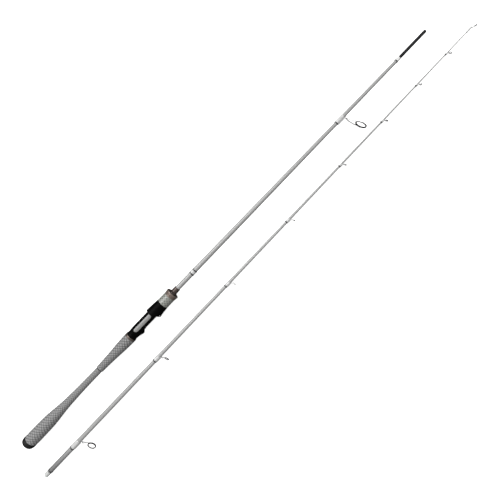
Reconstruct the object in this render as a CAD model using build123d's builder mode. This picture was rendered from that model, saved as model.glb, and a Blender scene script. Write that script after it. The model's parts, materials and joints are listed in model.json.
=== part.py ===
from build123d import *

import os
from math import cos, radians, sin

# A two-piece spinning rod, taken apart and laid down: the butt section with its handle and
# reel seat, and the tip section beside it. +X runs from the butt to the tip, the guides and
# the reel side face -Y, and both sections rest on the plane Z = 0.
# Stations are distances along a section's own axis: from the butt end on the butt section,
# and from the mouth of the ferrule on the tip section. All sizes are in millimetres.

# ---------------------------------------------------------------- layout
BUTT_END_X = -549.1
BUTT_AXIS_Y = 40.2
BUTT_AXIS_Z = 12.82
MOUTH_AHEAD_OF_BUTT_END = -10.5
MOUTH_BESIDE_BUTT_AXIS = 63.4
MOUTH_AXIS_Z = 8.35
SPLAY = 0.40
DIP = 0.285

# ---------------------------------------------------------------- fits
GLUE_GAP = 0.05
RUNNING_GAP = 0.07
BODY_GAP = 0.35

# ---------------------------------------------------------------- handle
CAP_END = 11.3
CAP_RADIUS = 12.8
GRIP_RADIUS = 12.6
GRIP_SPLIT = 188.7
GRIP_END = 267.2
GRIP_END_RADIUS = 10.65
HANDLE_BORE = 5.05
CAP_BOSS_RADIUS = 6.0
CAP_BOSS_END = 19.0

# ---------------------------------------------------------------- reel seat
SEAT_START = 271.5
SEAT_RADIUS = 10.15
SEAT_BORE = 6.9
BARREL_START = 334.5
BARREL_END = 378.5
BARREL_RADIUS = 9.2
THREAD_PITCH = 2.0
THREAD_DEPTH = 0.55
FOOT_FLAT = 7.8
HOODED_FLAT = 7.65
FOOT_FLAT_START = 298.2
FOOT_FLAT_END = 330.2
HOODED_FLAT_END = 348.4
FIXED_HOOD_APEX = (291.0, 12.4)
FIXED_HOOD_HALF_ANGLE = 36.0
KEYWAY_WIDTH = 3.0
KEYWAY_FLOOR = 8.3
INLAY_CENTRE = (304.9, 1.7)
INLAY_LENGTH = 40.8
INLAY_WIDTH = 9.2
INLAY_DEPTH = 1.2

# ---------------------------------------------------------------- movable hood and lock nut
HOOD_REAR = 325.2
HOOD_WAIST = 342.5
HOOD_FRONT = 352.3
HOOD_STEP = 348.4
HOOD_BORE = 10.5
NUT_REAR = HOOD_FRONT + BODY_GAP
SLEEVE_END = 370.8
TRIM_END = 374.0
NUT_FRONT = 379.3
NUT_BORE = BARREL_RADIUS + RUNNING_GAP
NUT_CORE_RADIUS = 10.1
SLEEVE_RADIUS = 11.1
COLLAR_RADIUS = 12.1
CHECK_START = NUT_FRONT + BODY_GAP
CHECK_END = 391.9

# ---------------------------------------------------------------- blanks and ferrule
BLANK_START = 19.5
BLANK_END = 969.0
BLANK_WALL = 0.95
BUTT_TAPER = [(BLANK_START, 4.95), (413.0, 4.65), (495.0, 4.45), (BLANK_END, 3.0)]
FERRULE_RADIUS = 2.9
FERRULE_TIP = 1037.4
FERRULE_ROOT = 909.0
FERRULE_ROOT_RADIUS = 1.95
SOCKET_DEPTH = 72.0
PLUG_END = -11.0
TIP_BLANK_END = 1114.0
TIP_TAPER = [(0.0, 4.25), (150.0, 4.15), (320.0, 3.5), (505.0, 2.85), (725.0, 2.1),
             (912.0, 1.5), (TIP_BLANK_END, 0.85)]

# ---------------------------------------------------------------- windings
WRAP_THICKNESS = 0.35
BAND_THICKNESS = 0.45
BAND_WIDTH = 2.2

# A guide: where its winding starts, where its frame leaves the blank, how far ahead of that
# and how far from the axis its ring stands, the ring's outer and inner radius, the radius of
# a frame leg, the width and thickness of its foot, the thickness and width of the band that
# holds the insert, and the width of the insert.
GUIDE_LEAN = 17.5
STRIPPER = dict(wrap=805.6, exit=824.1, ahead=10.4, height=33.6, outer=11.1, inner=8.6,
                leg=1.0, foot_width=3.0, foot=1.0, holder=0.6, band=1.2, depth=2.7)
TIP_GUIDES = [
    dict(wrap=59.9, exit=77.7, ahead=7.8, height=23.0, outer=7.9, inner=5.9,
         leg=0.8, foot_width=2.6, foot=0.9, holder=0.5, band=1.1, depth=2.3),
    dict(wrap=277.6, exit=289.1, ahead=4.6, height=13.2, outer=4.6, inner=3.35,
         leg=0.58, foot_width=1.9, foot=0.7, holder=0.4, band=0.8, depth=1.8),
    dict(wrap=465.2, exit=474.9, ahead=3.2, height=8.5, outer=3.1, inner=2.1,
         leg=0.38, foot_width=1.5, foot=0.5, holder=0.35, band=0.7, depth=1.5),
    dict(wrap=626.5, exit=634.4, ahead=2.9, height=7.4, outer=3.0, inner=2.05,
         leg=0.38, foot_width=1.4, foot=0.5, holder=0.35, band=0.7, depth=1.5),
    dict(wrap=767.3, exit=773.4, ahead=2.8, height=5.9, outer=2.8, inner=1.9,
         leg=0.36, foot_width=1.3, foot=0.45, holder=0.3, band=0.7, depth=1.4),
    dict(wrap=878.7, exit=884.7, ahead=2.7, height=5.3, outer=2.75, inner=1.85,
         leg=0.36, foot_width=1.3, foot=0.45, holder=0.3, band=0.7, depth=1.4),
    dict(wrap=971.0, exit=976.5, ahead=2.6, height=4.9, outer=2.7, inner=1.8,
         leg=0.35, foot_width=1.2, foot=0.45, holder=0.3, band=0.7, depth=1.4),
    dict(wrap=1050.6, exit=1056.2, ahead=2.5, height=4.6, outer=2.65, inner=1.75,
         leg=0.35, foot_width=1.2, foot=0.45, holder=0.3, band=0.7, depth=1.4),
]

# ---------------------------------------------------------------- tip-top
TIP_TUBE = (1105.4, 1119.9)
TIP_TUBE_RADIUS = 1.25
TIP_RING = dict(exit=1118.4, ahead=9.3, height=3.4, outer=2.7, inner=1.8,
                leg=0.36, holder=0.3, band=0.6, depth=1.3)
TIP_LEAN = 60.0

butt_frame = Plane(origin=(BUTT_END_X, BUTT_AXIS_Y, BUTT_AXIS_Z), x_dir=(1, 0, 0), z_dir=(0, 0, 1))
splay, dip = radians(SPLAY), radians(DIP)
tip_frame = Plane(
    origin=(BUTT_END_X + MOUTH_AHEAD_OF_BUTT_END, BUTT_AXIS_Y - MOUTH_BESIDE_BUTT_AXIS, MOUTH_AXIS_Z),
    x_dir=(cos(dip) * cos(splay), cos(dip) * sin(splay), -sin(dip)),
    z_dir=(sin(dip) * cos(splay), sin(dip) * sin(splay), cos(dip)),
)

os.makedirs("parts", exist_ok=True)


def save(builder, name):
    """Label a finished piece and write its STEP file."""
    builder.part.label = name
    export_step(builder.part, f"parts/{name}.step")


def radius_at(taper, station):
    """Outer radius of a blank at a station, straight between the taper's stations."""
    for (x0, r0), (x1, r1) in zip(taper, taper[1:]):
        if station <= x1:
            return r0 + (r1 - r0) * (station - x0) / (x1 - x0)
    return taper[-1][1]


def long_axis(frame):
    """The section's own axis."""
    return Axis(frame.origin, frame.x_dir)


def cross_plane(frame, station):
    """Plane square to a section's axis: local x points away from the reel side, local y up."""
    return Plane(origin=frame.from_local_coords((station, 0, 0)), x_dir=frame.y_dir, z_dir=frame.x_dir)


def side_plane(side, height):
    """Plane beside the reel seat, facing up for side 1 and down for side -1."""
    facing = Plane(origin=butt_frame.origin, x_dir=(1, 0, 0), z_dir=(0, 0, side))
    return facing.offset(height)


def turned(frame, outline):
    """A turned piece from a closed outline of (station, radius) points."""
    with BuildPart() as piece:
        with BuildSketch(frame):
            with BuildLine():
                Polyline(*outline, close=True)
            make_face()
        revolve(axis=long_axis(frame))
    return piece


def sleeve_on(frame, taper, start, end, thickness):
    """A thin winding that follows a blank's taper, with bevelled ends."""
    bevel = thickness
    inner = [(x, radius_at(taper, x) + GLUE_GAP) for x in (start, end)]
    crown = [(x, radius_at(taper, x) + thickness) for x in (end - bevel, start + bevel)]
    return turned(frame, inner + crown)


def bands_on(frame, taper, starts):
    """Identical narrow dark bands, each a ring of its own."""
    with BuildPart() as bands:
        for start in starts:
            end = start + BAND_WIDTH
            bore = radius_at(taper, start) + GLUE_GAP
            crown = bore + BAND_THICKNESS
            with BuildSketch(frame):
                with BuildLine():
                    Polyline((start, bore), (end, bore), (end, crown - 0.1), (end - 0.3, crown),
                             (start + 0.3, crown), (start, crown - 0.1), close=True)
                make_face()
            revolve(axis=long_axis(frame))
    return bands


# ---------------------------------------------------------------- handle pieces
with BuildPart() as butt_cap:
    with BuildSketch(butt_frame):
        with BuildLine():
            Line((0, 0), (0, 7.0))
            ThreePointArc((0, 7.0), (0.8, 10.0), (2.8, 12.1))
            Spline((2.8, 12.1), (5.4, CAP_RADIUS - 0.15), (8.0, CAP_RADIUS - 0.05),
                   (CAP_END, CAP_RADIUS - 0.3))
            Polyline((CAP_END, CAP_RADIUS - 0.3), (CAP_END, CAP_BOSS_RADIUS),
                     (CAP_BOSS_END, CAP_BOSS_RADIUS), (CAP_BOSS_END, 0), (0, 0))
        make_face()
    revolve(axis=long_axis(butt_frame))
save(butt_cap, "butt_cap")

with BuildPart() as rear_grip:
    with BuildSketch(butt_frame):
        with BuildLine():
            Spline((CAP_END, GRIP_RADIUS - 0.5), (CAP_END + 4, GRIP_RADIUS - 0.1), (32, GRIP_RADIUS),
                   (58, 12.0), (76.2, 10.4), (94.2, 8.5), (112.2, 7.4), (130.7, 6.7), (148.7, 6.32),
                   (GRIP_SPLIT, 6.1))
            Polyline((GRIP_SPLIT, 6.1), (GRIP_SPLIT, HANDLE_BORE), (BLANK_START, HANDLE_BORE),
                     (BLANK_START, CAP_BOSS_RADIUS + GLUE_GAP), (CAP_END, CAP_BOSS_RADIUS + GLUE_GAP),
                     (CAP_END, GRIP_RADIUS - 0.5))
        make_face()
    revolve(axis=long_axis(butt_frame))
save(rear_grip, "rear_grip")

with BuildPart() as fore_grip:
    with BuildSketch(butt_frame):
        with BuildLine():
            Line((GRIP_SPLIT, HANDLE_BORE), (GRIP_SPLIT, 6.4))
            ThreePointArc((GRIP_SPLIT, 6.4), (GRIP_SPLIT + 0.7, 6.95), (GRIP_SPLIT + 2.5, 7.2))
            Spline((GRIP_SPLIT + 2.5, 7.2), (208.2, 7.75), (221.2, 8.4), (233.8, 9.2), (244.7, 9.95),
                   (255.2, 10.45), (GRIP_END, GRIP_END_RADIUS))
            Polyline((GRIP_END, GRIP_END_RADIUS), (GRIP_END, HANDLE_BORE), (GRIP_SPLIT, HANDLE_BORE))
        make_face()
    revolve(axis=long_axis(butt_frame))
save(fore_grip, "fore_grip")

ring_mid = (GRIP_END + SEAT_START) / 2
seat_ring = turned(butt_frame, [
    (GRIP_END, HANDLE_BORE), (GRIP_END, 10.45), (GRIP_END + 0.4, 10.6), (ring_mid - 0.4, 10.6),
    (ring_mid, 10.3), (ring_mid + 0.4, 10.6), (SEAT_START - 0.4, 10.6), (SEAT_START, 10.45),
    (SEAT_START, HANDLE_BORE),
])
save(seat_ring, "seat_rear_ring")

# ---------------------------------------------------------------- reel seat
# The body is turned with its screw barrel, then the fixed hood is added as a sector of a
# turned wedge, and the foot flat, the hood's pocket, the keyway and the side windows are cut.
thread = []
crest = THREAD_PITCH / 4
station = BARREL_START + THREAD_PITCH
while station + THREAD_PITCH < BARREL_END - 0.5:
    thread += [(station, BARREL_RADIUS), (station + crest, BARREL_RADIUS - THREAD_DEPTH),
               (station + 2 * crest, BARREL_RADIUS - THREAD_DEPTH), (station + 3 * crest, BARREL_RADIUS)]
    station += THREAD_PITCH

with BuildPart() as reel_seat:
    with BuildSketch(butt_frame):
        with BuildLine():
            Polyline((SEAT_START, SEAT_BORE), (SEAT_START, 10.1), (273.2, 9.7), (276.0, 9.5), (279.5, 9.65),
                     (284, 10.0), (290, SEAT_RADIUS), (BARREL_START - 0.5, SEAT_RADIUS), (BARREL_START, 9.8),
                     (BARREL_START, BARREL_RADIUS), *thread, (BARREL_END - 0.5, BARREL_RADIUS),
                     (BARREL_END, BARREL_RADIUS - 0.5), (BARREL_END, SEAT_BORE), close=True)
        make_face()
    revolve(axis=long_axis(butt_frame))
    apex_station, apex_radius = FIXED_HOOD_APEX
    half = radians(FIXED_HOOD_HALF_ANGLE)
    wedge_plane = Plane(origin=butt_frame.origin, x_dir=(1, 0, 0), z_dir=(0, -sin(half), -cos(half)))
    with BuildSketch(wedge_plane):
        with BuildLine():
            Polyline((278.5, 8.7), (278.5, 9.7), (285, 10.9), (apex_station - 1.2, apex_radius),
                     (apex_station + 0.4, apex_radius), (FOOT_FLAT_START, HOODED_FLAT), close=True)
        make_face()
    revolve(axis=long_axis(butt_frame), revolution_arc=2 * FIXED_HOOD_HALF_ANGLE)
    with BuildSketch(butt_frame):
        with BuildLine():
            Polyline((FOOT_FLAT_START, -FOOT_FLAT), (FOOT_FLAT_END, -FOOT_FLAT),
                     (FOOT_FLAT_END, -HOODED_FLAT), (HOODED_FLAT_END, -HOODED_FLAT),
                     (HOODED_FLAT_END, -14), (FOOT_FLAT_START, -14), close=True)
        make_face()
    extrude(amount=14, both=True, mode=Mode.SUBTRACT)
    with BuildSketch(butt_frame):
        with BuildLine():
            Polyline((285, -HOODED_FLAT), (285, -9.4), (apex_station, -11.3), (FOOT_FLAT_START + 1, -11.3),
                     (FOOT_FLAT_START + 1, -FOOT_FLAT), (FOOT_FLAT_START, -FOOT_FLAT),
                     (FOOT_FLAT_START, -HOODED_FLAT), close=True)
        make_face()
    extrude(amount=5.6, both=True, mode=Mode.SUBTRACT)
    with BuildSketch(cross_plane(butt_frame, BARREL_START + 0.4)):
        with Locations((KEYWAY_FLOOR + 2, 0)):
            Rectangle(4, KEYWAY_WIDTH)
    extrude(amount=BARREL_END - BARREL_START, mode=Mode.SUBTRACT)
    for side in (-1, 1):
        with BuildSketch(side_plane(side, SEAT_RADIUS - INLAY_DEPTH)):
            with Locations((INLAY_CENTRE[0], side * INLAY_CENTRE[1])):
                SlotOverall(INLAY_LENGTH, INLAY_WIDTH)
        extrude(amount=4, mode=Mode.SUBTRACT)
save(reel_seat, "reel_seat")

for side, name in ((1, "seat_inlay_upper"), (-1, "seat_inlay_lower")):
    with BuildPart() as inlay:
        with BuildSketch(side_plane(side, SEAT_RADIUS - INLAY_DEPTH + GLUE_GAP)):
            with Locations((INLAY_CENTRE[0], side * INLAY_CENTRE[1])):
                SlotOverall(INLAY_LENGTH - 2 * GLUE_GAP, INLAY_WIDTH - 2 * GLUE_GAP)
        extrude(amount=4)
        with BuildSketch(cross_plane(butt_frame, SEAT_START)):
            Circle(SEAT_RADIUS - GLUE_GAP)
        extrude(amount=HOOD_FRONT - SEAT_START, mode=Mode.INTERSECT)
    save(inlay, name)

with BuildPart() as seat_arbors:
    for start in (274.0, 321.0, 362.0):
        with BuildSketch(cross_plane(butt_frame, start)):
            Circle(SEAT_BORE - GLUE_GAP)
            Circle(4.8, mode=Mode.SUBTRACT)
        extrude(amount=14)
save(seat_arbors, "seat_arbors")

# ---------------------------------------------------------------- movable hood
with BuildPart() as movable_hood:
    with BuildSketch(cross_plane(butt_frame, HOOD_REAR)):
        with Locations((-0.9, 0)):
            Ellipse(14.0, 12.4)
    with BuildSketch(cross_plane(butt_frame, HOOD_WAIST)):
        Ellipse(12.1, 11.95)
    with BuildSketch(cross_plane(butt_frame, HOOD_FRONT)):
        Circle(11.4)
    loft(ruled=True)
    with BuildSketch(cross_plane(butt_frame, HOOD_REAR)):
        Circle(HOOD_BORE)
    extrude(amount=HOOD_STEP - HOOD_REAR, mode=Mode.SUBTRACT)
    with BuildSketch(cross_plane(butt_frame, HOOD_STEP)):
        Circle(BARREL_RADIUS + RUNNING_GAP)
    extrude(amount=HOOD_FRONT - HOOD_STEP, mode=Mode.SUBTRACT)
    with BuildSketch(butt_frame):
        with BuildLine():
            Polyline((323.8, 6), (326.0, 0), (330.8, -8.4), (333.4, -14.0), (333.4, -19), (323.8, -19),
                     close=True)
        make_face()
    extrude(amount=18, both=True, mode=Mode.SUBTRACT)
    with BuildSketch(butt_frame):
        with BuildLine():
            Polyline((326, -6.5), (326, -12.2), (333.6, -12.0), (342, -10.7), (347.3, -10.3), (347.3, -6.5),
                     close=True)
        make_face()
    extrude(amount=6.2, both=True, mode=Mode.SUBTRACT)
    with BuildSketch(cross_plane(butt_frame, HOOD_STEP + 0.2)):
        with Locations((KEYWAY_FLOOR + 0.95, 0)):
            Rectangle(1.3, KEYWAY_WIDTH - 2 * BODY_GAP)
    extrude(amount=3.4)
save(movable_hood, "movable_hood")

# ---------------------------------------------------------------- lock nut
nut_core = turned(butt_frame, [
    (NUT_REAR, NUT_BORE), (NUT_REAR, NUT_CORE_RADIUS), (SLEEVE_END, NUT_CORE_RADIUS), (SLEEVE_END, NUT_BORE),
])
save(nut_core, "lock_nut_core")

nut_sleeve = turned(butt_frame, [
    (NUT_REAR, NUT_CORE_RADIUS + GLUE_GAP), (NUT_REAR, 10.9), (NUT_REAR + 0.4, SLEEVE_RADIUS),
    (SLEEVE_END - 0.4, SLEEVE_RADIUS), (SLEEVE_END, 10.9), (SLEEVE_END, NUT_CORE_RADIUS + GLUE_GAP),
])
save(nut_sleeve, "lock_nut_sleeve")

nut_trim = turned(butt_frame, [
    (SLEEVE_END, NUT_BORE), (SLEEVE_END, 10.95), (SLEEVE_END + 0.4, 11.15), (372.2, 11.2), (372.5, 10.9),
    (372.8, 10.9), (373.1, 11.25), (TRIM_END - 0.3, 11.35), (TRIM_END, 11.1), (TRIM_END, NUT_BORE),
])
save(nut_trim, "lock_nut_trim_ring")

nut_collar = turned(butt_frame, [
    (TRIM_END, NUT_BORE), (TRIM_END, 11.2), (TRIM_END + 0.4, 11.5), (375.4, 11.65), (375.7, 11.3),
    (376.1, 11.3), (376.5, 11.85), (377.6, COLLAR_RADIUS), (378.6, COLLAR_RADIUS),
    (NUT_FRONT, COLLAR_RADIUS - 0.6), (NUT_FRONT, NUT_BORE),
])
save(nut_collar, "lock_nut_collar")

winding_check = turned(butt_frame, [
    (CHECK_START, 4.75), (CHECK_START, 7.7), (CHECK_START + 0.6, 7.6), (382.2, 5.95), (383.0, 5.7),
    (CHECK_END - 0.6, 5.5), (CHECK_END, 5.2), (CHECK_END, 4.75),
])
save(winding_check, "winding_check")

# ---------------------------------------------------------------- blank of the butt section
butt_blank = turned(
    butt_frame,
    BUTT_TAPER + [(x, r - BLANK_WALL) for x, r in reversed(BUTT_TAPER)],
)
save(butt_blank, "butt_blank")

male_ferrule = turned(butt_frame, [
    (FERRULE_ROOT, 0), (FERRULE_ROOT, FERRULE_ROOT_RADIUS), (BLANK_END, FERRULE_ROOT_RADIUS),
    (BLANK_END, FERRULE_RADIUS), (FERRULE_TIP - 1.4, FERRULE_RADIUS), (FERRULE_TIP - 0.4, 2.3),
    (FERRULE_TIP, 1.4), (FERRULE_TIP, 0),
])
save(male_ferrule, "male_ferrule")

save(sleeve_on(butt_frame, BUTT_TAPER, 429.0, 435.0, WRAP_THICKNESS), "handle_trim_wrap")
save(sleeve_on(butt_frame, BUTT_TAPER, 961.3, BLANK_END, WRAP_THICKNESS), "ferrule_end_wrap")
save(bands_on(butt_frame, BUTT_TAPER, (426.8, 435.0, 803.4, 959.1)), "butt_trim_bands")


# ---------------------------------------------------------------- guides
def ring_plane(frame, guide, lean):
    """Plane through a guide ring's centre: local x along the ring's axis, local z sideways."""
    centre = frame.from_local_coords((guide["exit"] + guide["ahead"], -guide["height"], 0))
    tilt = radians(lean)
    return Plane(origin=centre, x_dir=frame.x_dir * cos(tilt) + frame.y_dir * sin(tilt), z_dir=frame.z_dir)


def insert_ring(frame, guide, lean):
    """The polished ring that the line runs through."""
    plane = ring_plane(frame, guide, lean)
    outer = guide["outer"] - guide["holder"] - GLUE_GAP
    height = outer - guide["inner"]
    with BuildPart() as insert:
        with BuildSketch(plane):
            with Locations((0, outer - height / 2)):
                RectangleRounded(guide["depth"] + 0.2, height, 0.42 * height)
        revolve(axis=Axis(plane.origin, plane.x_dir))
    return insert


def leg_path_points(frame, guide, lean, side, start):
    """A leg's start at the blank, a point on its way and its end on the ring's side."""
    drop = radians(25)
    tilt = radians(lean)
    reach = guide["outer"] - guide["holder"] / 2
    down = reach * sin(drop)
    end = (guide["exit"] + guide["ahead"] - down * sin(tilt), -guide["height"] + down * cos(tilt),
           side * reach * cos(drop))
    middle = (start[0] + 0.36 * (end[0] - start[0]), start[1] + 0.55 * (end[1] - start[1]),
              start[2] + 0.62 * (end[2] - start[2]))
    return [frame.from_local_coords(point) for point in (start, middle, end)]


def guide_frame(frame, taper, guide):
    """A single-foot frame: foot, two legs and the ring that holds the insert."""
    seat = radius_at(taper, guide["wrap"]) + GLUE_GAP
    plane = ring_plane(frame, guide, GUIDE_LEAN)
    foot = guide["foot"]
    with BuildPart() as body:
        with BuildSketch(cross_plane(frame, guide["wrap"] + 1)):
            with Locations((-(seat + foot / 2), 0)):
                Rectangle(foot, guide["foot_width"])
        extrude(amount=guide["exit"] - guide["wrap"] + guide["leg"])
        for side in (-1, 1):
            start = (guide["exit"], -(seat + foot / 2), side * 0.2 * guide["foot_width"])
            with BuildLine() as path:
                ThreePointArc(*leg_path_points(frame, guide, GUIDE_LEAN, side, start))
            with BuildSketch(Plane(origin=path.line @ 0, z_dir=path.line % 0)):
                Circle(guide["leg"])
            sweep(path=path.line)
        with BuildSketch(plane):
            with Locations((0, guide["outer"] - guide["holder"] / 2)):
                Rectangle(guide["band"], guide["holder"])
        revolve(axis=Axis(plane.origin, plane.x_dir))
        with BuildSketch(plane):
            with Locations((0, (guide["outer"] - guide["holder"]) / 2)):
                Rectangle(2 * guide["depth"], guide["outer"] - guide["holder"])
        revolve(axis=Axis(plane.origin, plane.x_dir), mode=Mode.SUBTRACT)
    return body


def guide_wrap(frame, taper, guide):
    """The winding over a guide's foot: a sleeve with a hump, hollow where the foot lies."""
    start, end = guide["wrap"], guide["exit"] - guide["leg"] - 0.2
    seat = radius_at(taper, start) + GLUE_GAP
    foot = guide["foot"]
    crown = seat + WRAP_THICKNESS
    with BuildPart() as wrap:
        with BuildSketch(cross_plane(frame, start)):
            Circle(crown)
            with Locations((-seat, 0)):
                Ellipse(foot + WRAP_THICKNESS, guide["foot_width"] / 2 + 0.6)
            Circle(seat, mode=Mode.SUBTRACT)
        extrude(amount=end - start)
        with BuildSketch(cross_plane(frame, start + 1 - GLUE_GAP)):
            with Locations((-(seat + foot / 2), 0)):
                Rectangle(foot + 2 * GLUE_GAP, guide["foot_width"] + 2 * GLUE_GAP)
        extrude(amount=end - start, mode=Mode.SUBTRACT)
    return wrap


save(guide_frame(butt_frame, BUTT_TAPER, STRIPPER), "stripper_guide_frame")
save(insert_ring(butt_frame, STRIPPER, GUIDE_LEAN), "stripper_guide_ring")
save(guide_wrap(butt_frame, BUTT_TAPER, STRIPPER), "stripper_guide_wrap")

for number, guide in enumerate(TIP_GUIDES, start=1):
    save(guide_frame(tip_frame, TIP_TAPER, guide), f"guide_{number}_frame")
    save(insert_ring(tip_frame, guide, GUIDE_LEAN), f"guide_{number}_ring")
    save(guide_wrap(tip_frame, TIP_TAPER, guide), f"guide_{number}_wrap")

# ---------------------------------------------------------------- tip section
socket_bore = FERRULE_RADIUS + 0.05
tip_blank = turned(tip_frame, TIP_TAPER + [
    (TIP_BLANK_END, 0.35), (SOCKET_DEPTH + 60, 2.0), (SOCKET_DEPTH + 1, socket_bore - 0.6),
    (SOCKET_DEPTH, socket_bore), (0, socket_bore),
])
save(tip_blank, "tip_blank")

save(sleeve_on(tip_frame, TIP_TAPER, BAND_WIDTH + 1.3, 57.0, 0.25), "ferrule_winding")
tip_band_starts = [1.2] + [guide["wrap"] - BAND_WIDTH - 0.1 for guide in TIP_GUIDES]
save(bands_on(tip_frame, TIP_TAPER, tip_band_starts), "tip_trim_bands")

tube_start, tube_end = TIP_TUBE
with BuildPart() as tip_top:
    with BuildSketch(cross_plane(tip_frame, tube_start)):
        Circle(TIP_TUBE_RADIUS)
        Circle(radius_at(TIP_TAPER, tube_start) + GLUE_GAP, mode=Mode.SUBTRACT)
    extrude(amount=TIP_BLANK_END - tube_start + 0.2)
    with BuildSketch(cross_plane(tip_frame, TIP_BLANK_END + 0.2)):
        Circle(TIP_TUBE_RADIUS)
    extrude(amount=tube_end - TIP_BLANK_END - 0.2)
    for side in (-1, 1):
        leg_start = (TIP_RING["exit"], -0.6, side * 0.6)
        with BuildLine() as leg_path:
            ThreePointArc(*leg_path_points(tip_frame, TIP_RING, TIP_LEAN, side, leg_start))
        with BuildSketch(Plane(origin=leg_path.line @ 0, z_dir=leg_path.line % 0)):
            Circle(TIP_RING["leg"])
        sweep(path=leg_path.line)
    tip_ring_plane = ring_plane(tip_frame, TIP_RING, TIP_LEAN)
    tip_ring_axis = Axis(tip_ring_plane.origin, tip_ring_plane.x_dir)
    with BuildSketch(tip_ring_plane):
        with Locations((0, TIP_RING["outer"] - TIP_RING["holder"] / 2)):
            Rectangle(TIP_RING["band"], TIP_RING["holder"])
    revolve(axis=tip_ring_axis)
    with BuildSketch(tip_ring_plane):
        with Locations((0, (TIP_RING["outer"] - TIP_RING["holder"]) / 2)):
            Rectangle(2 * TIP_RING["depth"], TIP_RING["outer"] - TIP_RING["holder"])
    revolve(axis=tip_ring_axis, mode=Mode.SUBTRACT)
save(tip_top, "tip_top_frame")
save(insert_ring(tip_frame, TIP_RING, TIP_LEAN), "tip_top_ring")

# ---------------------------------------------------------------- ferrule plug
plug_spigot = socket_bore - RUNNING_GAP
with BuildPart() as ferrule_plug:
    with BuildSketch(tip_frame):
        with BuildLine():
            Line((PLUG_END, 0), (PLUG_END, 2.6))
            ThreePointArc((PLUG_END, 2.6), (PLUG_END + 0.8, 3.9), (PLUG_END + 2.6, 4.4))
            Polyline((PLUG_END + 2.6, 4.4), (-1.0, 4.55), (-BODY_GAP, 4.4), (-BODY_GAP, plug_spigot),
                     (5.0, plug_spigot), (5.6, plug_spigot - 0.6), (5.6, 0), (PLUG_END, 0))
        make_face()
    revolve(axis=long_axis(tip_frame))
save(ferrule_plug, "ferrule_plug")
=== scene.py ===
import json
from math import cos, exp, floor, radians, sin, tau

import bpy
from mathutils import Matrix, Vector
from mathutils.bvhtree import BVHTree


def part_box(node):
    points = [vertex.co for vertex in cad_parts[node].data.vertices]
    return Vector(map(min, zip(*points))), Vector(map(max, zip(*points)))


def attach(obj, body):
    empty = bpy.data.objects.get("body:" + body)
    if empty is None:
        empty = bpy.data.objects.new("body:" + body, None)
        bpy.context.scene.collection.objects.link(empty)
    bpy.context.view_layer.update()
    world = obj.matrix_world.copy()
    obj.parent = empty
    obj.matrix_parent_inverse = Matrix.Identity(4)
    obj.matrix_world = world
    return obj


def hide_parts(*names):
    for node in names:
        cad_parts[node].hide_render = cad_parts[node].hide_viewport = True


# A two-piece spinning rod lying on a white floor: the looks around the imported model.
# Lengths are in metres. "Station" is the distance along a section's own axis.

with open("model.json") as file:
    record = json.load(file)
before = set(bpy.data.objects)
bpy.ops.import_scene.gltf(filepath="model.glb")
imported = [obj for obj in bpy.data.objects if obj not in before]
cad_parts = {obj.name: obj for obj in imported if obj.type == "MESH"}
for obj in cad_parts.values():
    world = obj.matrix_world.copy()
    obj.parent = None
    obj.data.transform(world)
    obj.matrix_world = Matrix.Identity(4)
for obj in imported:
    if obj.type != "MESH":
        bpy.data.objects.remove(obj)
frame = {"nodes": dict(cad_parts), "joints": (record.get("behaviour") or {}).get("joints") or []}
bpy.context.view_layer.update()
NODES = frame["nodes"]
JOINTS = {joint["name"]: joint for joint in frame["joints"]}

MM = 0.001


# ---------------------------------------------------------------- the two sections' own frames
def section_frame(node, direction):
    """Matrix of a rod section: x along its axis, y away from the reel side, z up."""
    low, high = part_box(node)
    x_axis = Vector(direction).normalized()
    y_axis = Vector((0, 0, 1)).cross(x_axis).normalized()
    matrix = Matrix((x_axis, y_axis, x_axis.cross(y_axis))).transposed().to_4x4()
    matrix.translation = (low + high) / 2
    return matrix


BUTT = section_frame("butt_cap", JOINTS["nut_turn"]["axis"])
TIP = section_frame("ferrule_plug", -Vector(JOINTS["plug_slide"]["axis"]))


def in_section(node, section):
    """The node's vertices in a section's frame."""
    inverse = section.inverted()
    return [inverse @ vertex.co for vertex in NODES[node].data.vertices]


def extent(node, section):
    """First and last station of a node."""
    stations = [point.x for point in in_section(node, section)]
    return min(stations), max(stations)


def surface_of(*nodes):
    """The outer surface of some CAD nodes, for measuring."""
    vertices, faces = [], []
    for node in nodes:
        mesh = NODES[node].data
        first = len(vertices)
        vertices += [vertex.co.copy() for vertex in mesh.vertices]
        faces += [[first + index for index in face.vertices] for face in mesh.polygons]
    return BVHTree.FromPolygons(vertices, faces)


def radius_of(surface, section, station, turn):
    """Distance from the axis to the surface, at a station and a turn about the axis."""
    outward = Vector((0, cos(tau * turn), sin(tau * turn)))
    start = section @ (Vector((station, 0, 0)) + outward * 0.05)
    hit = surface.ray_cast(start, -(section.to_3x3() @ outward), 0.05)[0]
    return (section.inverted() @ hit).yz.length if hit else 0.0


def mean_radius(surface, section, station):
    """A turned surface's radius at a station."""
    turns = [radius_of(surface, section, station, step / 8 + 0.01) for step in range(8)]
    return sum(turns) / len(turns)


def catmull(values, position):
    """Smooth curve through evenly spaced values; position is in steps."""
    index = min(max(int(floor(position)), 0), len(values) - 2)
    t = position - index
    p1, p2 = values[index], values[index + 1]
    p0 = values[index - 1] if index > 0 else 2 * p1 - p2
    p3 = values[index + 2] if index + 2 < len(values) else 2 * p2 - p1
    return 0.5 * (2 * p1 + (p2 - p0) * t + (2 * p0 - 5 * p1 + 4 * p2 - p3) * t ** 2
                  + (3 * p1 - p0 - 3 * p2 + p3) * t ** 3)


def smoothstep(value):
    value = min(max(value, 0.0), 1.0)
    return value * value * (3 - 2 * value)


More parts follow.
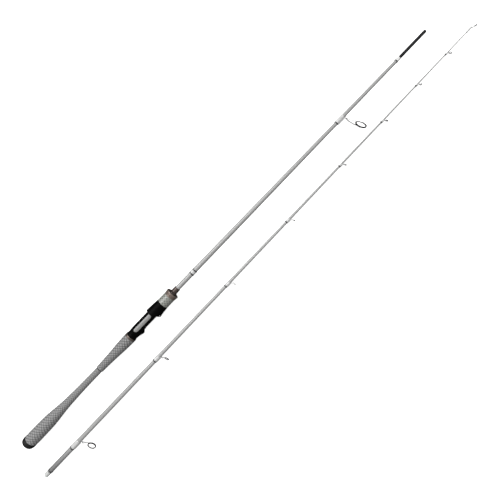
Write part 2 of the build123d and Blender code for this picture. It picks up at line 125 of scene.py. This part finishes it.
# ---------------------------------------------------------------- meshes made here
def sleeve(name, section, stations, around, outer, inner, fields=()):
    """A closed sleeve about a section's axis. outer(station, turn) is its radius, inner(station) its bore.
    Each field is (name, function of station and turn), stored on the vertices for the material."""
    vertices, faces = [], []
    values = {field: [] for field, _ in fields}

    def ring(station, radius):
        for step in range(around):
            turn = step / around
            distance = radius(turn)
            angle = tau * turn
            vertices.append(section @ Vector((station, distance * cos(angle), distance * sin(angle))))
            for field, value in fields:
                values[field].append(value(station, turn))

    ring(stations[0], lambda turn: inner(stations[0]))
    for station in stations:
        ring(station, lambda turn: outer(station, turn))
    ring(stations[-1], lambda turn: inner(stations[-1]))
    rings = len(stations) + 2
    for low in range(rings):
        high = (low + 1) % rings
        for step in range(around):
            following = (step + 1) % around
            faces.append((low * around + step, low * around + following,
                          high * around + following, high * around + step))
    mesh = bpy.data.meshes.new(name)
    mesh.from_pydata(vertices, [], faces)
    for field, _ in fields:
        layer = mesh.attributes.new(field, "FLOAT", "POINT")
        layer.data.foreach_set("value", values[field])
    mesh.shade_smooth()
    mesh.set_sharp_from_angle(angle=radians(50))
    piece = bpy.data.objects.new(name, mesh)
    bpy.context.scene.collection.objects.link(piece)
    return piece


def place(piece, body, slot, material, *nodes):
    """The piece rides on a body, stands for CAD nodes and takes a finish."""
    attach(piece, body)
    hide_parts(*nodes)
    piece.data.materials.append(material)


def spread(start, end, count):
    return [start + (end - start) * step / (count - 1) for step in range(count)]


NET_GROOVE = 0.19


def net_field(turn, along, lines):
    """How deep a point lies in the grooves of a diamond net: (line, crossing), each 0 to 1."""
    first = abs((turn * lines + along + 0.5) % 1 - 0.5)
    second = abs((turn * lines - along + 0.5) % 1 - 0.5)
    first = exp(-(first / NET_GROOVE) ** 2)
    second = exp(-(second / NET_GROOVE) ** 2)
    return max(first, second), first * second


# ---------------------------------------------------------------- grips
# A net is (pitch along the axis, lines around).
REAR_NET = (5.7 * MM, 11)
FORE_NET = (5.9 * MM, 9)
NET_AROUND = 156
GRIP_KNOTS = 60
GRIP_RING_SPACING = 0.55 * MM
BORE_CLEARANCE = 0.1 * MM
GRIP_NET_DEPTH = 0.32 * MM
# The fore grip's plain rear lip, and the length over which its painted shadow is full.
LIP_LENGTH = 3.4 * MM
LIP_SHADE = 2.0 * MM


def grip(name, body, slot, material, net, shadowed_lip):
    """A grip's shrink sleeve: the CAD grip's outline with a diamond net pressed into it."""
    surface = surface_of(name)
    pitch, lines = net
    start, end = extent(name, BUTT)
    edge = 0.02 * MM
    knots = [mean_radius(surface, BUTT, station) for station in spread(start + edge, end - edge, GRIP_KNOTS)]
    bore = mean_radius(surface_of("butt_blank"), BUTT, (start + end) / 2) + BORE_CLEARANCE

    def outline(station):
        return catmull(knots, (station - start) / (end - start) * (len(knots) - 1))

    def fade(station):
        return smoothstep((station - start - shadowed_lip) / MM) * smoothstep((end - station) / MM)

    def line(station, turn):
        return net_field(turn, (station - start) / pitch, lines)[0] * fade(station)

    def crossing(station, turn):
        return net_field(turn, (station - start) / pitch, lines)[1] * fade(station)

    # Painted shadow in the gap at the grip's rear lip: full over LIP_SHADE, gone by LIP_LENGTH, only where a
    # lip is given.
    def painted_lip_shadow(station, turn):
        return 1 - smoothstep((station - start - LIP_SHADE) / (LIP_LENGTH - LIP_SHADE)) if shadowed_lip else 0.0

    def outer(station, turn):
        depth = GRIP_NET_DEPTH * (0.8 * line(station, turn) + 0.2 * crossing(station, turn))
        return outline(station) - depth

    count = int((end - start) / GRIP_RING_SPACING)
    piece = sleeve(name + "_sleeve", BUTT, spread(start, end, count), NET_AROUND, outer, lambda station: bore,
                   [("line", line), ("crossing", crossing), ("shadowed_lip", painted_lip_shadow)])
    place(piece, body, slot, material, name)


# ---------------------------------------------------------------- lock nut sleeve
NUT_NET_PITCH = 5.6 * MM
NUT_NET_LINES = 10
NUT_RINGS = 64
NUT_NET_DEPTH = 0.12 * MM


def nut_sleeve(material):
    """The lock nut's grip: woven cloth under resin."""
    name = "lock_nut_sleeve"
    surface = surface_of(name)
    start, end = extent(name, BUTT)
    radius = mean_radius(surface, BUTT, (start + end) / 2)
    core = mean_radius(surface_of("lock_nut_core"), BUTT, (start + end) / 2)
    bevel = 0.35 * MM

    def fade(station):
        return smoothstep((station - start) / MM) * smoothstep((end - station) / MM)

    def line(station, turn):
        return net_field(turn, (station - start) / NUT_NET_PITCH, NUT_NET_LINES)[0] * fade(station)

    def crossing(station, turn):
        return net_field(turn, (station - start) / NUT_NET_PITCH, NUT_NET_LINES)[1] * fade(station)

    def outer(station, turn):
        nearest = min(station - start, end - station)
        rounded = bevel * (1 - smoothstep(nearest / (2 * bevel)))
        return radius - rounded - NUT_NET_DEPTH * line(station, turn)

    piece = sleeve(name + "_weave", BUTT, spread(start, end, NUT_RINGS), NET_AROUND, outer,
                   lambda station: core, [("line", line), ("crossing", crossing)])
    place(piece, "lock_nut", "nut_weave", material, name)


# ---------------------------------------------------------------- thread windings
THREAD_PITCH = 0.28 * MM
THREAD_RELIEF = 0.018 * MM
RESIN_RUN_OUT = 1.4 * MM
RINGS_PER_TURN = 4
FEWEST_RINGS = 12
MOST_RINGS = 420
WINDING_AROUND = 96
WINDING_BORE_CLEARANCE = 0.01 * MM


def winding(name, body, section, blank, material, slot):
    """A lacquered winding: the CAD sleeve's section, with its ends drawn down to the blank by the resin
    and the turns of the thread just showing."""
    surface = surface_of(name)
    blank_surface = surface_of(blank)
    start, end = extent(name, section)
    middle = (start + end) / 2
    around = WINDING_AROUND
    blank_low = mean_radius(blank_surface, section, start)
    blank_high = mean_radius(blank_surface, section, end)
    section_shape = [radius_of(surface, section, middle, step / around) for step in range(around)]
    thickness = [
        max(sum(section_shape[(step + near) % around] for near in (-1, 0, 1)) / 3, section_shape[step])
        - mean_radius(blank_surface, section, middle)
        for step in range(around)
    ]

    def base(station):
        return blank_low + (blank_high - blank_low) * (station - start) / (end - start)

    def outer(station, turn):
        nearest = min(station - start, end - station)
        rise = smoothstep(0.12 + 0.88 * nearest / RESIN_RUN_OUT)
        turns = station / THREAD_PITCH + turn
        relief = THREAD_RELIEF * (0.5 - 0.5 * cos(tau * turns)) * rise
        return base(station) + thickness[int(round(turn * around)) % around] * rise - relief

    count = int((end - start) / (THREAD_PITCH / RINGS_PER_TURN))
    count = min(max(count, FEWEST_RINGS), MOST_RINGS)
    piece = sleeve(name + "_thread", section, spread(start, end, count), around, outer,
                   lambda station: base(station) + WINDING_BORE_CLEARANCE)
    place(piece, body, slot, material, name)


# ---------------------------------------------------------------- materials
class Shader:
    """A material's node tree, with short calls to add to it."""

    def __init__(self, name, colour, roughness, **settings):
        self.material = bpy.data.materials.new(name)
        self.material.use_nodes = True
        self.tree = self.material.node_tree
        self.surface = self.tree.nodes["Principled BSDF"]
        self.surface.inputs["Base Color"].default_value = (*colour, 1)
        self.surface.inputs["Roughness"].default_value = roughness
        for socket, value in settings.items():
            self.surface.inputs[socket.replace("_", " ")].default_value = value
        self.normal = None

    def node(self, kind, inputs=None, **values):
        """A new node; inputs holds numbers, or sockets to link from."""
        made = self.tree.nodes.new("ShaderNode" + kind)
        for key, value in values.items():
            setattr(made, key, value)
        for key, value in (inputs or {}).items():
            if isinstance(value, bpy.types.NodeSocket):
                self.tree.links.new(value, made.inputs[key])
            else:
                made.inputs[key].default_value = value
        return made

    def math(self, operation, first, second=0.0, clamp=False):
        return self.node("Math", {0: first, 1: second}, operation=operation, use_clamp=clamp).outputs[0]

    def mix(self, factor, first, second):
        """Colour between two colours or sockets."""
        made = self.node("Mix", data_type="RGBA")
        for socket, value in ((0, factor), (6, first), (7, second)):
            if isinstance(value, bpy.types.NodeSocket):
                self.tree.links.new(value, made.inputs[socket])
            elif socket == 0:
                made.inputs[socket].default_value = value
            else:
                made.inputs[socket].default_value = (*value, 1)
        return made.outputs[2]

    def place(self):
        """A point of the surface, which stays with its piece as it moves."""
        return self.node("TexCoord").outputs["Object"]

    def noise(self, size, detail=3.0):
        """Noise from 0 to 1 with blotches of about that size."""
        made = self.node("TexNoise", {"Vector": self.place(), "Scale": 1 / size, "Detail": detail})
        return made.outputs["Fac"]

    def around_axis(self, section):
        """(station, turn about the axis in radians) of a point, as sockets."""
        offset = self.node("VectorMath", {0: self.place(), 1: section.translation},
                           operation="SUBTRACT").outputs["Vector"]
        parts = [self.node("VectorMath", {0: offset, 1: section.col[axis].xyz},
                           operation="DOT_PRODUCT").outputs["Value"] for axis in range(3)]
        return parts[0], self.math("ARCTAN2", parts[2], parts[1])

    def field(self, name):
        """A value stored on the mesh's vertices."""
        return self.node("Attribute", attribute_name=name).outputs["Fac"]

    def colour(self, socket):
        self.tree.links.new(socket, self.surface.inputs["Base Color"])

    def roughness(self, low, high, factor):
        """Roughness that goes from low to high with a factor."""
        spread_by = self.node("MapRange", {"Value": factor, "To Min": low, "To Max": high})
        self.tree.links.new(spread_by.outputs[0], self.surface.inputs["Roughness"])

    def bump(self, height, distance, strength=1.0):
        """Adds relief of that height in metres."""
        values = {"Height": height, "Distance": distance, "Strength": strength}
        if self.normal:
            values["Normal"] = self.normal
        self.normal = self.node("Bump", values).outputs["Normal"]
        self.tree.links.new(self.normal, self.surface.inputs["Normal"])

    def round_edges(self, radius):
        """Softens the look of moulded or turned edges."""
        self.normal = self.node("Bevel", {"Radius": radius}, samples=4).outputs["Normal"]
        self.tree.links.new(self.normal, self.surface.inputs["Normal"])


def grip_material(name, pad, groove, blotch):
    """Shrink sleeve: pads with a fine fabric grain, darker grooves, dark crossings and a painted shadow at
    the lip.
    """
    shader = Shader(name, pad, 0.6, Specular_IOR_Level=0.35)
    mottled = shader.mix(shader.noise(2.2 * MM, 4.0), [c * (1 - blotch) for c in pad],
                         [min(c * (1 + blotch), 1) for c in pad])
    grain = shader.noise(0.45 * MM, 2.0)
    grained = shader.mix(shader.math("MULTIPLY", grain, 0.35), mottled, groove)
    lined = shader.mix(shader.math("MULTIPLY", shader.field("line"), 0.85), grained, groove)
    dotted = shader.mix(shader.math("MULTIPLY", shader.field("crossing"), 0.8), lined,
                        [c * 0.55 for c in groove])
    # Painted shadow at the rear lip, darker than the grooves.
    shader.colour(shader.mix(shader.math("MULTIPLY", shader.field("shadowed_lip"), 0.9), dotted,
                             [c * 0.35 for c in groove]))
    shader.roughness(0.5, 0.72, grain)
    shader.bump(grain, 0.05 * MM, 0.6)
    return shader.material


def weave_material():
    """Pale cloth under clear resin, with dark threads at the crossings."""
    pad, thread = (0.31, 0.32, 0.29), (0.13, 0.137, 0.122)
    shader = Shader("nut_weave", pad, 0.42, Coat_Weight=0.5, Coat_Roughness=0.12)
    grain = shader.noise(0.5 * MM, 2.0)
    mottled = shader.mix(shader.math("MULTIPLY", grain, 0.3), pad, (0.2, 0.208, 0.187))
    lined = shader.mix(shader.math("MULTIPLY", shader.field("line"), 0.5), mottled, thread)
    shader.colour(shader.mix(shader.field("crossing"), lined, (0.012, 0.014, 0.012)))
    shader.bump(grain, 0.04 * MM, 0.5)
    return shader.material


def moulded_material(name, colour, roughness, edge, shine):
    """Moulded plastic or rubber with a fine spark-eroded grain and softened edges."""
    shader = Shader(name, colour, roughness, Specular_IOR_Level=shine)
    shader.round_edges(edge)
    cloud = shader.noise(6 * MM, 3.0)
    shader.colour(shader.mix(cloud, colour, [c * 1.6 for c in colour]))
    shader.roughness(roughness - 0.06, roughness + 0.08, cloud)
    shader.bump(shader.noise(0.35 * MM, 2.0), 0.03 * MM, 0.5)
    return shader.material


def inlay_material():
    """Pale inlay with a faint pearly mottling under gloss."""
    shader = Shader("seat_inlay", (0.2, 0.2, 0.195), 0.4, Coat_Weight=0.3, Coat_Roughness=0.12)
    shader.colour(shader.mix(shader.noise(1.5 * MM, 4.0), (0.17, 0.17, 0.166), (0.24, 0.24, 0.235)))
    shader.bump(shader.noise(0.8 * MM, 2.0), 0.02 * MM, 0.4)
    return shader.material


def anodised_material(name, colour, pale, section):
    """Turned, anodised aluminium with tool marks round the axis, some bands of the marks made lighter as a
    painted ring highlight.
    """
    shader = Shader(name, colour, 0.36, Metallic=0.45, Anisotropic=0.4)
    shader.round_edges(0.15 * MM)
    station, _ = shader.around_axis(section)
    marks = shader.node("TexNoise", {"W": shader.math("MULTIPLY", station, 1 / (0.12 * MM)), "Scale": 1.0,
                                     "Detail": 2.0}, noise_dimensions="1D").outputs["Fac"]
    painted_sheen = shader.noise(3 * MM, 3.0)
    # Lighter bands: real tool marks carrying a painted ring highlight.
    shader.colour(shader.mix(shader.math("MULTIPLY", painted_sheen, marks), colour, pale))
    shader.roughness(0.24, 0.42, marks)
    shader.bump(marks, 0.015 * MM, 0.6)
    return shader.material


def blank_material(name, section):
    """Lacquered blank: pale grey with fine sparkle, and the faint spiral left by the shrink tape."""
    shader = Shader(name, (0.34, 0.34, 0.335), 0.42, Coat_Weight=0.35, Coat_Roughness=0.12)
    station, turn = shader.around_axis(section)
    spiral = shader.math("SINE", shader.math("ADD", shader.math("MULTIPLY", station, tau / (3.1 * MM)), turn))
    flakes = shader.noise(0.3 * MM, 1.0)
    cloud = shader.noise(14 * MM, 3.0)
    clouded = shader.mix(cloud, (0.34, 0.34, 0.335), (0.385, 0.385, 0.38))
    shader.colour(shader.mix(shader.math("MULTIPLY", flakes, 0.12), clouded, (0.22, 0.22, 0.22)))
    shader.roughness(0.28, 0.42, flakes)
    shader.bump(spiral, 0.012 * MM, 0.4)
    return shader.material


def ferrule_material():
    """Sanded carbon spigot, its fine rings left by the abrasive."""
    shader = Shader("ferrule_black", (0.01, 0.01, 0.011), 0.42, Specular_IOR_Level=0.3)
    station, _ = shader.around_axis(BUTT)
    rings = shader.node("TexNoise", {"W": shader.math("MULTIPLY", station, 1 / (0.3 * MM)), "Scale": 1.0,
                                     "Detail": 3.0}, noise_dimensions="1D").outputs["Fac"]
    shader.colour(shader.mix(rings, (0.005, 0.005, 0.006), (0.02, 0.02, 0.021)))
    shader.roughness(0.34, 0.55, rings)
    shader.bump(rings, 0.015 * MM, 0.7)
    return shader.material


def thread_material(name, pale, dark, section, paler_by=0.0):
    """Wound thread under clear lacquer, with a painted highlight on the top of each turn and painted shade
    between the turns.
    """
    shader = Shader(name, pale, 0.4, Coat_Weight=1.0, Coat_Roughness=0.05)
    station, turn = shader.around_axis(section)
    turns = shader.math("ADD", shader.math("MULTIPLY", station, tau / THREAD_PITCH), turn)
    # Painted shade between the turns of thread: 0 on the top of each turn, 1 between turns.
    shade_between_turns = shader.math("MULTIPLY_ADD", shader.math("COSINE", turns), -0.5)
    shade_between_turns.node.inputs[2].default_value = 0.5
    uneven = shader.noise(1.2 * MM, 3.0)
    if paler_by:
        start, end = extent("ferrule_winding", section)
        rise = shader.node("MapRange", {"Value": station, "From Min": start, "From Max": end,
                                        "To Max": paler_by}).outputs[0]
        pale = shader.mix(rise, pale, (1, 1, 1))
        dark = shader.mix(rise, dark, (1, 1, 1))
    # Thread colour with painted highlight on each turn and painted shade between the turns.
    thread = shader.mix(shade_between_turns, pale, dark)
    shader.colour(shader.mix(shader.math("MULTIPLY", uneven, 0.5), thread, dark))
    return shader.material


def steel_material():
    """Polished stainless wire and pressings."""
    shader = Shader("guide_metal", (0.8, 0.8, 0.8), 0.3, Metallic=0.8)
    shader.round_edges(0.12 * MM)
    streaks = shader.noise(0.6 * MM, 4.0)
    shader.colour(shader.mix(streaks, (0.74, 0.74, 0.74), (0.9, 0.9, 0.89)))
    shader.roughness(0.16, 0.36, streaks)
    shader.bump(streaks, 0.01 * MM, 0.5)
    return shader.material


def ceramic_material():
    """Polished black ceramic."""
    shader = Shader("ring_ceramic", (0.012, 0.012, 0.014), 0.12, Coat_Weight=0.25, Coat_Roughness=0.04)
    cloud = shader.noise(1.0 * MM, 3.0)
    shader.colour(shader.mix(cloud, (0.008, 0.008, 0.01), (0.022, 0.022, 0.025)))
    shader.roughness(0.08, 0.2, cloud)
    return shader.material


def plug_material():
    """Milky soft plastic."""
    shader = Shader("plug_clear", (0.5, 0.51, 0.5), 0.45)
    shader.round_edges(0.2 * MM)
    cloud = shader.noise(3 * MM, 3.0)
    shader.colour(shader.mix(cloud, (0.5, 0.51, 0.5), (0.6, 0.61, 0.6)))
    shader.roughness(0.3, 0.48, cloud)
    return shader.material


def foam_material():
    """Closed-cell foam."""
    shader = Shader("arbor", (0.72, 0.7, 0.64), 0.85)
    cells = shader.node("TexVoronoi", {"Vector": shader.place(), "Scale": 1 / (0.7 * MM)}).outputs["Distance"]
    shader.colour(shader.mix(cells, (0.6, 0.58, 0.52), (0.8, 0.78, 0.72)))
    shader.bump(cells, 0.1 * MM, 0.8)
    return shader.material


def dress(node, material):
    """A CAD node keeps its shape and takes a finish."""
    mesh = NODES[node].data
    mesh.materials.clear()
    mesh.materials.append(material)


# ---------------------------------------------------------------- dressing the model
GUIDES = range(1, 9)

rear_net = grip_material("rear_sleeve", (0.39, 0.39, 0.39), (0.1, 0.1, 0.1), 0.12)
fore_net = grip_material("fore_sleeve", (0.4, 0.4, 0.4), (0.06, 0.06, 0.06), 0.2)
seat_black = moulded_material("seat_black", (0.0012, 0.0012, 0.0012), 0.42, 0.35 * MM, 0.03)
hood_black = moulded_material("hood_black", (0.0012, 0.0012, 0.0012), 0.4, 0.4 * MM, 0.035)
cap_rubber = moulded_material("cap_rubber", (0.005, 0.005, 0.005), 0.5, 0.5 * MM, 0.25)
core_black = moulded_material("nut_core", (0.02, 0.02, 0.02), 0.5, 0.2 * MM, 0.4)
bronze = anodised_material("bronze_ring", (0.17, 0.13, 0.112), (0.27, 0.22, 0.19), BUTT)
dark_brown = anodised_material("check_brown", (0.045, 0.032, 0.028), (0.11, 0.082, 0.07), BUTT)
ring_brown = anodised_material("brown_ring", (0.085, 0.068, 0.06), (0.2, 0.165, 0.145), BUTT)
steel = steel_material()
ceramic = ceramic_material()
butt_pale = thread_material("butt_wrap_light", (0.66, 0.66, 0.65), (0.5, 0.5, 0.5), BUTT)
ferrule_pale = thread_material("ferrule_wrap_light", (0.78, 0.78, 0.77), (0.66, 0.66, 0.65), BUTT)
tip_pale = thread_material("tip_wrap_light", (0.66, 0.66, 0.65), (0.5, 0.5, 0.5), TIP)
tip_grey = thread_material("tip_wrap_dark", (0.19, 0.19, 0.19), (0.13, 0.13, 0.13), TIP, paler_by=0.17)
butt_dark = thread_material("butt_trim", (0.03, 0.03, 0.032), (0.012, 0.012, 0.012), BUTT)
tip_dark = thread_material("tip_trim", (0.03, 0.03, 0.032), (0.012, 0.012, 0.012), TIP)

CAD_FINISHES = {
    "butt_cap": cap_rubber, "seat_rear_ring": ring_brown, "reel_seat": seat_black,
    "seat_arbors": foam_material(), "butt_blank": blank_material("butt_blank_grey", BUTT),
    "male_ferrule": ferrule_material(), "winding_check": dark_brown, "butt_trim_bands": butt_dark,
    "stripper_guide_frame": steel, "stripper_guide_ring": ceramic, "movable_hood": hood_black,
    "lock_nut_core": core_black, "lock_nut_trim_ring": bronze, "lock_nut_collar": bronze,
    "tip_blank": blank_material("tip_blank_grey", TIP), "tip_trim_bands": tip_dark,
    "tip_top_frame": steel, "tip_top_ring": ceramic, "ferrule_plug": plug_material(),
}
inlay = inlay_material()
CAD_FINISHES.update({"seat_inlay_upper": inlay, "seat_inlay_lower": inlay})
CAD_FINISHES.update({f"guide_{number}_frame": steel for number in GUIDES})
CAD_FINISHES.update({f"guide_{number}_ring": ceramic for number in GUIDES})
for node, finish in CAD_FINISHES.items():
    dress(node, finish)

grip("rear_grip", "butt_section", "rear_sleeve", rear_net, REAR_NET, 0.0)
grip("fore_grip", "butt_section", "fore_sleeve", fore_net, FORE_NET, LIP_LENGTH)
nut_sleeve(weave_material())
for name in ("handle_trim_wrap", "stripper_guide_wrap"):
    winding(name, "butt_section", BUTT, "butt_blank", butt_pale, "wrap_light")
winding("ferrule_end_wrap", "butt_section", BUTT, "butt_blank", ferrule_pale, "wrap_light")
winding("ferrule_winding", "tip_section", TIP, "tip_blank", tip_grey, "wrap_dark")
for number in GUIDES:
    winding(f"guide_{number}_wrap", "tip_section", TIP, "tip_blank", tip_pale, "wrap_light")

# ---------------------------------------------------------------- floor, light and camera
FLOOR_SIZE = 12.0
FLOOR_DROP = 0.1 * MM
LENS = 25.2
CAMERA_PLACE = (-17.2 * MM, -6.2 * MM, 645.5 * MM)
CAMERA_ROLL = -46.1
KEY_DIRECTION = (-0.15, 1.0, 1.15)
KEY_STRENGTH = 2.5
KEY_SOFTNESS = 45.0
HORIZON = (0.14, 0.14, 0.14, 1)
ZENITH = (0.7, 0.7, 0.7, 1)
BACKDROP = (0.9, 0.9, 0.9, 1)


def make_floor():
    """A white sheet, lit from within a little so that it stays white."""
    half = FLOOR_SIZE / 2
    mesh = bpy.data.meshes.new("floor")
    mesh.from_pydata([(x * half, y * half, -FLOOR_DROP) for x, y in ((-1, -1), (1, -1), (1, 1), (-1, 1))],
                     [], [(0, 1, 2, 3)])
    floor_sheet = bpy.data.objects.new("floor", mesh)
    bpy.context.scene.collection.objects.link(floor_sheet)
    shader = Shader("floor_white", (0.9, 0.9, 0.9), 0.9, Emission_Strength=0.75, Specular_IOR_Level=0.0)
    shader.surface.inputs["Emission Color"].default_value = (1, 1, 1, 1)
    shader.colour(shader.mix(shader.noise(0.5, 2.0), (0.88, 0.88, 0.88), (0.92, 0.92, 0.92)))
    mesh.materials.append(shader.material)
    floor_sheet.visible_diffuse = False
    floor_sheet.visible_glossy = False


def make_world():
    """A soft sky, bright overhead and dim towards the horizon, and a pale backdrop to the camera."""
    world = bpy.data.worlds.new("soft_sky")
    bpy.context.scene.world = world
    world.use_nodes = True
    nodes, links = world.node_tree.nodes, world.node_tree.links
    height = nodes.new("ShaderNodeSeparateXYZ")
    links.new(nodes.new("ShaderNodeTexCoord").outputs["Generated"], height.inputs[0])
    ramp = nodes.new("ShaderNodeValToRGB")
    links.new(height.outputs["Z"], ramp.inputs[0])
    ramp.color_ramp.elements[0].position = 0.0
    ramp.color_ramp.elements[0].color = HORIZON
    ramp.color_ramp.elements[1].position = 0.9
    ramp.color_ramp.elements[1].color = ZENITH
    seen = nodes.new("ShaderNodeMix")
    seen.data_type = "RGBA"
    links.new(nodes.new("ShaderNodeLightPath").outputs["Is Camera Ray"], seen.inputs[0])
    links.new(ramp.outputs[0], seen.inputs[6])
    seen.inputs[7].default_value = BACKDROP
    links.new(seen.outputs[2], nodes["Background"].inputs["Color"])


def make_key():
    """One broad soft light from the side away from the reel."""
    light = bpy.data.lights.new("key", "SUN")
    light.energy = KEY_STRENGTH
    light.angle = radians(KEY_SOFTNESS)
    lamp = bpy.data.objects.new("key", light)
    lamp.rotation_euler = Vector(KEY_DIRECTION).to_track_quat("Z", "Y").to_euler()
    bpy.context.scene.collection.objects.link(lamp)


def make_camera():
    """Straight down on the rod, near enough for the guides at both ends to open up."""
    data = bpy.data.cameras.new("camera")
    data.lens = LENS
    data.clip_start = 0.01
    camera = bpy.data.objects.new("camera", data)
    camera.location = CAMERA_PLACE
    camera.rotation_euler = (0, 0, radians(CAMERA_ROLL))
    bpy.context.scene.collection.objects.link(camera)
    bpy.context.scene.camera = camera


make_floor()
make_world()
make_key()
make_camera()
bpy.context.scene.view_settings.view_transform = "Standard"

# ---------------------------------------------------------------- final scene update
bpy.context.view_layer.update()
